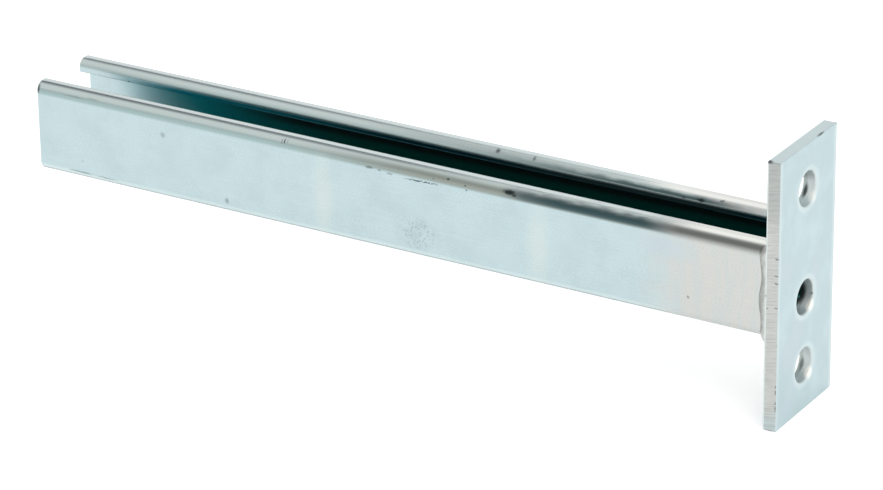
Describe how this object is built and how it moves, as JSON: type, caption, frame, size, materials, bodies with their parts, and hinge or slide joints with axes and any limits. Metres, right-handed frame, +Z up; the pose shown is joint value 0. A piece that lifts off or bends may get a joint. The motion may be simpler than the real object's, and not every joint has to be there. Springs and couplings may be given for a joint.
{
  "type": "strut channel bracket",
  "caption": "Wall-mounted cantilever arm: slotted C strut channel with inturned lips, fillet-welded square to a flat steel plate with punched bolt holes.",
  "frame": {"origin": "centre of the plate's wall face, midway between the two outer bolt holes", "axes": "+X out from the wall along the arm, +Z up with the channel's slot facing up, +Y to the left looking out from the wall"},
  "size_m": [0.366, 0.05, 0.118],
  "materials": {
    "channel_zinc": "bright blue-white zinc plate over roll-formed strip",
    "plate_zinc": "pale blue-white zinc plate over blanked steel plate",
    "weld_zinc": "dull grey zinc plate over a smooth weld bead"
  },
  "bodies": {
    "root": {"strut_channel": "channel_zinc", "base_plate": "plate_zinc", "weld_bead": "weld_zinc"}
  },
  "joints": []
}
